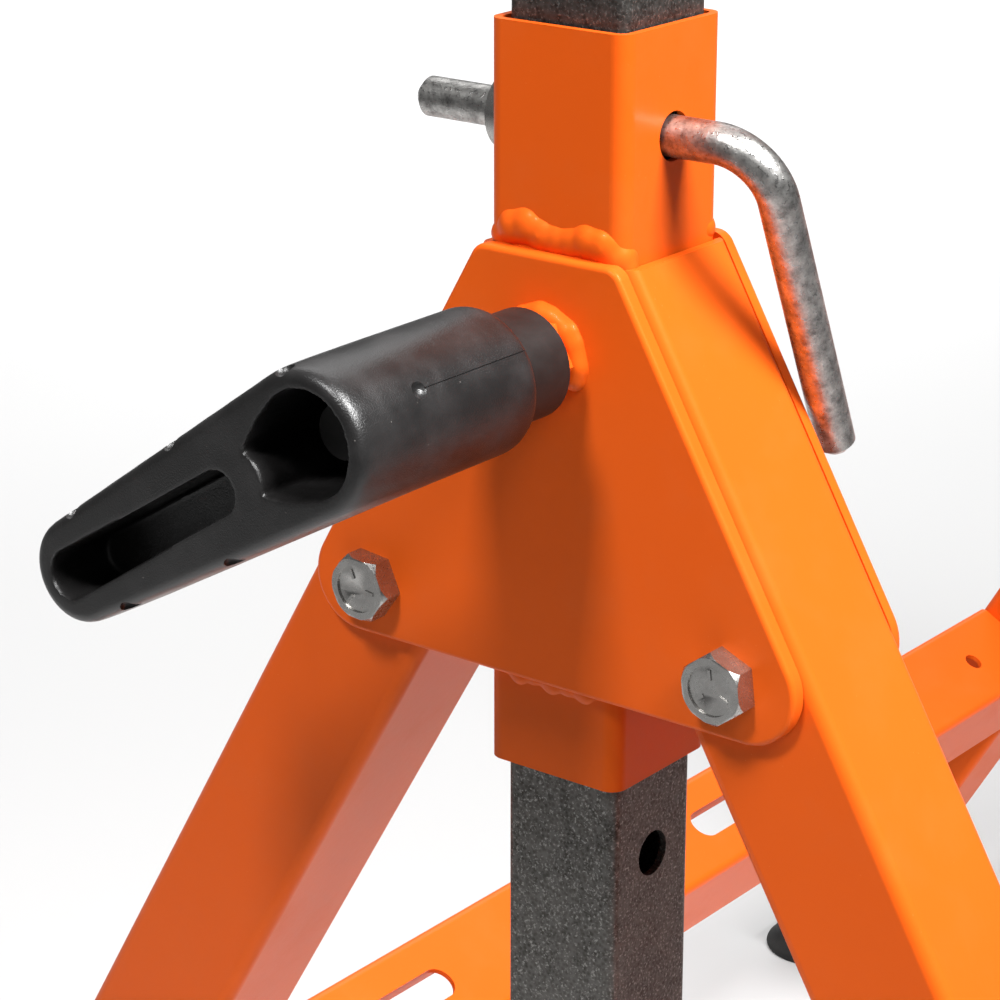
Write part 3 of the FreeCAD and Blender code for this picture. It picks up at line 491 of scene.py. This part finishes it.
def complete(piece, body, slot_name, stands_for=()):
    """Apply the place, fix the normals and shading, and give the piece its finish and its body."""
    take(piece)
    bpy.ops.object.transform_apply()
    bpy.ops.object.mode_set(mode="EDIT")
    bpy.ops.mesh.select_all(action="SELECT")
    bpy.ops.mesh.remove_doubles(threshold=MERGE_DISTANCE)
    bpy.ops.mesh.normals_make_consistent(inside=False)
    bpy.ops.object.mode_set(mode="OBJECT")
    bpy.ops.object.shade_smooth_by_angle(angle=SMOOTH_ANGLE)
    piece.data.materials.clear()
    piece.data.materials.append(finishes[slot_name])
    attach(piece, body)
    if stands_for:
        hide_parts(*stands_for)
    print(f"{piece.name}: {len(piece.data.polygons)} faces on {body}")


print("modelling helpers ready")

# %% [markdown]
# ## The clamp lever
# The lever is one nylon moulding: a fat round hub with an arm that tapers to a blunt tip. The skin
# round two stacks of discs makes the arm, the hub is welded on, and a fine rebuild followed by
# smoothing gives the generous rounded edges that a mould needs. The hub's recess and the arm's long
# pocket keep the wall thin; they are cut afterwards and the piece is rebuilt once more, so that their
# rims are only slightly rounded.

# %% Lever blank
HUB_RADIUS = 17.95 * MM
ARM_THICKNESS = 27 * MM
hub_back = edge("front_clamp_lever", 1, 1)
lever_face = edge("front_clamp_lever", 1, 0)
arm_back = lever_face + ARM_THICKNESS
TIP_RADIUS = 13.2 * MM
ARM_REACH = 85.3 * MM
LEVER_ANGLE = math.radians(32.4)
HEAD_ROUNDING = ((0, 2.3), (0.5, 1.4), (1.3, 0.75), (2.6, 0.4), (6, 0.2), (12, 0.08), (26, 0))


def rounded_bar(name, radius, y_to, x=0, share=1.0):
    """Discs of growing size behind one another, whose common skin has a widely rounded front."""
    return [bar(name, radius - share * inset * MM, lever_face + depth * MM, y_to, x, clamp_z)
            for depth, inset in HEAD_ROUNDING]


TIP_SHARE = 0.75
arm_slices = (rounded_bar("hub_slice", HUB_RADIUS, arm_back)
              + rounded_bar("tip_slice", TIP_RADIUS, arm_back, -ARM_REACH, TIP_SHARE))
lever = hull(arm_slices, "front_lever_moulding")
combine(lever, hull(rounded_bar("hub", HUB_RADIUS, hub_back), "hub"), "UNION")
LEVER_GRAIN, LEVER_ROUNDS = ((0.65 * MM, 22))
soften(lever, LEVER_GRAIN, LEVER_ROUNDS)
print("lever blank", len(lever.data.polygons), "faces")

# %% [markdown]
# The recess is round, but towards the arm it opens into two small corners with a bulge between them:
# that bulge is the outside of the pocket's own wall. So the cutter is a disc stretched towards two
# corner pegs, with a round bite taken out of its end.

# %% Recess and pocket
RECESS_RADIUS, RECESS_SHIFT, RECESS_DEPTH = 12.6 * MM, 1.2 * MM, 36 * MM
LOBE_RADIUS, LOBE_SHIFT = 10.6 * MM, 5.2 * MM
CORNER_RADIUS, CORNER_REACH, CORNER_SPREAD = 0.5 * MM, 16.2 * MM, 5.4 * MM
BITE_RADIUS, BITE_REACH = 8.4 * MM, 23.4 * MM
POCKET_DEPTH = 19 * MM
POCKET_ENDS = ((5.2, 29.5), (5.9, 87.2))
STUD_HOLE_RADIUS = 6.7 * MM
RIM_ROUNDS = 4
PROUD = 6 * MM

mouth = lever_face - PROUD
recess_floor = lever_face + RECESS_DEPTH
recess_parts = [bar("recess_disc", RECESS_RADIUS, mouth, recess_floor, RECESS_SHIFT, clamp_z),
                bar("recess_lobe", LOBE_RADIUS, mouth, recess_floor, -LOBE_SHIFT, clamp_z)]
for side in (-1, 1):
    corner_z = clamp_z + side * CORNER_SPREAD
    recess_parts.append(bar("corner", CORNER_RADIUS, mouth, recess_floor, -CORNER_REACH, corner_z, 12))
recess = hull(recess_parts, "recess_cutter")
bite = bar("bite", BITE_RADIUS, mouth - PROUD, recess_floor + PROUD, -BITE_REACH, clamp_z)
combine(recess, bite, "DIFFERENCE")
combine(lever, recess, "DIFFERENCE")

pocket_parts = [bar("pocket_end", radius * MM, mouth, lever_face + POCKET_DEPTH, -reach * MM, clamp_z, 48)
                for radius, reach in POCKET_ENDS]
combine(lever, hull(pocket_parts, "pocket_cutter"), "DIFFERENCE")
stud_hole = bar("stud_hole", STUD_HOLE_RADIUS, recess_floor - PROUD, hub_back + PROUD, 0, clamp_z, 48)
combine(lever, stud_hole, "DIFFERENCE")
soften(lever, LEVER_GRAIN, RIM_ROUNDS)
print("recess and pocket cut")

# %% [markdown]
# Small round dimples dot the edge of the lever, three along the top, two below and one on the hub.
# They help a thumb to feel the rim. A fine seam where the mould parted runs back along the hub.

# %% Dimples
DIMPLE_RADIUS = 2.7 * MM
DIMPLE_PLACES = ((4, 17.6, 2), (-38, 15.8, 2), (-78, 13.4, 2), (-36, -16.0, 2), (-74, -13.6, 2),
                 (19.4, 0.8, 23))
SEAM_DEPTH, SEAM_WIDTH, SEAM_RISE, SEAM_OVERLAP = 0.9 * MM, 0.24 * MM, 0.8 * MM, 2 * MM

dimples = [ball("dimple", DIMPLE_RADIUS, (along * MM, lever_face + depth * MM, clamp_z + across * MM))
           for along, across, depth in DIMPLE_PLACES]
combine(lever, join(dimples, "dimple_cutters"), "DIFFERENCE")
seam_start = arm_back - SEAM_OVERLAP
seam = start("cube", "mould_seam", size=1, scale=(SEAM_DEPTH, hub_back - seam_start, SEAM_WIDTH),
             location=(HUB_RADIUS, (seam_start + hub_back) / 2, clamp_z + SEAM_RISE))
combine(lever, seam, "DIFFERENCE")
turn(lever, LEVER_ANGLE, "Y", (0, 0, clamp_z))
rear_lever = to_rear(lever, "rear_lever_moulding")
complete(lever, "front_lever", "black_plastic", ["front_clamp_lever"])
complete(rear_lever, "rear_lever", "black_plastic", ["rear_clamp_lever"])

# %% [markdown]
# ## Pivot bolts
# A forged bolt head is a hexagon whose corners are turned off by a shallow cone, with a round dish in
# its top. Real heads carry letters; here three plain raised dashes take their place. One bolt is made
# and copied, so that the two of a head match.

# %% One bolt
NOMINAL_CORNER = 9.2376 * MM
HEAD_CORNER = 9.2 * MM
CONE_INSET, CONE_SLOPE = 1.05 * MM, 3.4 * MM
DISH_RADIUS, DISH_DEPTH = 6.3 * MM, 0.5 * MM
DASH_SIZE = (2.6 * MM, 0.5 * MM, 0.8 * MM)
DASH_REACH, DASH_DEPTH, DASH_ANGLES = 3.9 * MM, 0.45 * MM, (90, 210, 330)
SHANK_RADIUS, SHANK_OVERLAP = 4.98 * MM, 0.5 * MM
EDGE_BREAK = 0.22 * MM
BEVEL_FROM = math.radians(28)
RIGHT_TWIST, LEFT_TWIST = math.radians(7), math.radians(17)

pivot_x = (edge("front_pivot_bolts", 0, 1) - edge("front_pivot_bolts", 0, 0)) / 2 - NOMINAL_CORNER
pivot_z = middle("front_pivot_bolts", 2)
bolt_face = edge("front_pivot_bolts", 1, 0)
bolt_end = edge("front_pivot_bolts", 1, 1)
pivot_face = (pivot_x, bolt_face, pivot_z)

head = bar("bolt_head", HEAD_CORNER, bolt_face, plate_face, pivot_x, pivot_z, 6)
cone = start("cone", "turning_cone", vertices=96, radius1=HEAD_CORNER - CONE_INSET,
             radius2=HEAD_CORNER + CONE_SLOPE, depth=plate_face - bolt_face,
             location=(pivot_x, (bolt_face + plate_face) / 2, pivot_z), rotation=(-math.pi / 2, 0, 0))
combine(head, cone, "INTERSECT")
dish = bar("dish", DISH_RADIUS, bolt_face - PROUD, bolt_face + DISH_DEPTH, pivot_x, pivot_z, 64)
combine(head, dish, "DIFFERENCE")
for angle in DASH_ANGLES:
    dash = start("cube", "dash", size=1, scale=DASH_SIZE,
                 location=(pivot_x + DASH_REACH, bolt_face + DASH_DEPTH, pivot_z))
    turn(dash, math.radians(angle), "Y", pivot_face)
    combine(head, dash, "UNION")
shank = bar("shank", SHANK_RADIUS, plate_face - SHANK_OVERLAP, bolt_end, pivot_x, pivot_z, 48)
combine(head, shank, "UNION")
shape_with(head, "BEVEL", width=EDGE_BREAK, segments=2, limit_method="ANGLE", angle_limit=BEVEL_FROM)
turn(head, RIGHT_TWIST, "Y", pivot_face)
print("bolt", len(head.data.polygons), "faces")

# %% Two bolts to a head
other = copy_of(head, "left_bolt")
bpy.ops.transform.translate(value=(-2 * pivot_x, 0, 0))
turn(other, LEFT_TWIST, "Y", (-pivot_x, bolt_face, pivot_z))
bolts = join([head, other], "front_pivot_bolt_pair")
rear_bolts = to_rear(bolts, "rear_pivot_bolt_pair")
complete(bolts, "heads", "zinc", ["front_pivot_bolts"])
complete(rear_bolts, "heads", "zinc", ["rear_pivot_bolts"])

# %% [markdown]
# ## Weld beads
# The plates and the clamp nut are welded on before painting, and the paint covers the beads. A bead is
# a row of solidified puddles: overlapping flattened balls of uneven size, blended by a rebuild and a
# light smoothing. Each ball's place and size come from a short list, so the bead is always the same.

# %% Bead maker
def bead(name, places):
    """A lumpy bead through a list of places, each with a radius in millimetres."""
    piece = join([ball("puddle", radius * MM, (x, y, z)) for x, y, z, radius in places], name)
    return soften(piece, BEAD_GRAIN, BEAD_ROUNDS)


plate_top = edge("front_outer_gusset", 2, 1)
plate_bottom = edge("front_outer_gusset", 2, 0)
sleeve_front = edge("front_sleeve", 1, 0)
BEAD_GRAIN, BEAD_ROUNDS = 0.6 * MM, 22
BURIED = 3.7 * MM
TOP_PUDDLES = ((-16.5, 1.5, 4.2), (-12.5, 4.2, 5.8), (-8.5, 5.0, 6.0), (-4, 3.4, 5.6), (0.5, 2.8, 5.3),
               (5, 2.9, 5.4), (9.5, 3.8, 5.9), (13.5, 3.4, 5.8), (16.2, 0.6, 4.8), (18, -1.5, 3.4))
top_bead = [(x * MM, sleeve_front + BURIED, plate_top + up * MM, radius) for x, up, radius in TOP_PUDDLES]
LOW_PUDDLES = ((-15, 4.0), (-10, 4.9), (-5.5, 4.4), (0, 5.0), (5, 4.6), (10, 5.0), (15, 4.0))
LOW_DROP = 0.8 * MM
low_bead = [(x * MM, sleeve_front + BURIED, plate_bottom - LOW_DROP, radius) for x, radius in LOW_PUDDLES]
print("beads planned:", len(top_bead) + len(low_bead), "puddles to a plate")

# %% Beads on both plates of both heads
outer_beads = join([bead("top_bead", top_bead), bead("low_bead", low_bead)], "front_outer_weld")
inner_beads = turn(copy_of(outer_beads, "front_inner_weld"), math.pi, "Z", (0, head_y, 0))
for piece in (outer_beads, inner_beads):
    rear_piece = to_rear(piece, piece.name.replace(FRONT, REAR))
    complete(piece, "heads", "orange_paint")
    complete(rear_piece, "heads", "orange_paint")

# %% [markdown]
# The clamp nut carries a bead round the side away from the lever's swing. It is a ring of puddles that
# stops short of a full turn.

# %% Bead round the clamp nut
NUT_BEAD_RADIUS, NUT_BEAD_DEPTH = 9.6 * MM, 1.2 * MM
NUT_PUDDLES, FIRST_ANGLE, STEP_ANGLE = 15, -20, 16
PUDDLE_SIZE, SIZE_SWING, SWING_RATE = 4.1, 0.3, 2.1
nut_places = []
for step in range(NUT_PUDDLES):
    angle = math.radians(FIRST_ANGLE + STEP_ANGLE * step)
    size = PUDDLE_SIZE + SIZE_SWING * math.sin(SWING_RATE * step)
    nut_places.append((NUT_BEAD_RADIUS * math.cos(angle), plate_face + NUT_BEAD_DEPTH,
                       clamp_z + NUT_BEAD_RADIUS * math.sin(angle), size))
nut_bead = bead("front_nut_weld", nut_places)
rear_nut_bead = to_rear(nut_bead, "rear_nut_weld")
complete(nut_bead, "heads", "orange_paint")
complete(rear_nut_bead, "heads", "orange_paint")

# %% [markdown]
# ## Rubber feet
# Each foot is a socket pushed over the end of the leg, on top of a bell that flares to the floor. The
# bell is a disc drawn upwards ring by ring. The socket and the bell are welded and smoothed into one
# soft moulding. The front right foot is made; a mirror image and half turns give the other three.

# %% One foot
FOOT_CENTRE_X = 307.5 * MM
foot_centre_y = middle("front_right_foot", 1)
BELL_PROFILE = ((25.4, 0), (25.8, 1.2), (25.2, 2.8), (23.0, 5.0), (20.9, 8.0), (20.0, 12.0), (20.0, 19.0))
LEG_LEAN = math.radians(30)
SOCKET_WIDTH, SOCKET_LENGTH = 45 * MM, 41 * MM
SOCKET_EDGE = 4 * MM
FOOT_GRAIN = 1.0 * MM
FOOT_ROUNDS = 5

bell_centre = (FOOT_CENTRE_X, foot_centre_y, 0)
radius, height = BELL_PROFILE[0]
bell = start("circle", "bell", vertices=64, radius=radius * MM, fill_type="NGON", location=bell_centre)
bpy.ops.object.mode_set(mode="EDIT")
for next_radius, next_height in BELL_PROFILE[1:]:
    growth = next_radius / radius
    bpy.ops.mesh.extrude_region_move(TRANSFORM_OT_translate={"value": (0, 0, (next_height - height) * MM)})
    bpy.ops.transform.resize(value=(growth, growth, 1), center_override=bell_centre)
    radius, height = next_radius, next_height
bpy.ops.mesh.select_all(action="SELECT")
bpy.ops.mesh.normals_make_consistent(inside=False)
bpy.ops.object.mode_set(mode="OBJECT")
print("bell", len(bell.data.polygons), "faces")

# %% Socket over the leg, and the other three feet
leg_pivot = (pivot_x, foot_centre_y, pivot_z)
foot_top = edge("front_right_foot", 2, 1)
socket_drop = (pivot_z - foot_top) / math.cos(LEG_LEAN) + SOCKET_WIDTH / 2 * math.tan(LEG_LEAN)
socket = start("cube", "socket", size=1, scale=(SOCKET_WIDTH, SOCKET_WIDTH, SOCKET_LENGTH),
               location=(pivot_x, foot_centre_y, pivot_z - socket_drop - SOCKET_LENGTH / 2))
turn(socket, LEG_LEAN, "Y", leg_pivot)
take(socket)
bpy.ops.object.transform_apply()
shape_with(socket, "BEVEL", width=SOCKET_EDGE, segments=3, limit_method="ANGLE")
foot = join([combine(bell, socket, "UNION")], "front_right_boot")
soften(foot, FOOT_GRAIN, FOOT_ROUNDS)

mirrored = copy_of(foot, "front_left_boot")
bpy.ops.transform.resize(value=(-1, 1, 1), center_override=(0, 0, 0))
for name, source, side in (("rear_left_boot", foot, "left"), ("rear_right_boot", mirrored, "right")):
    complete(to_rear(source, name), f"{side}_frame", "rubber", [f"rear_{side}_foot"])
complete(foot, "right_frame", "rubber", ["front_right_foot"])
complete(mirrored, "left_frame", "rubber", ["front_left_foot"])
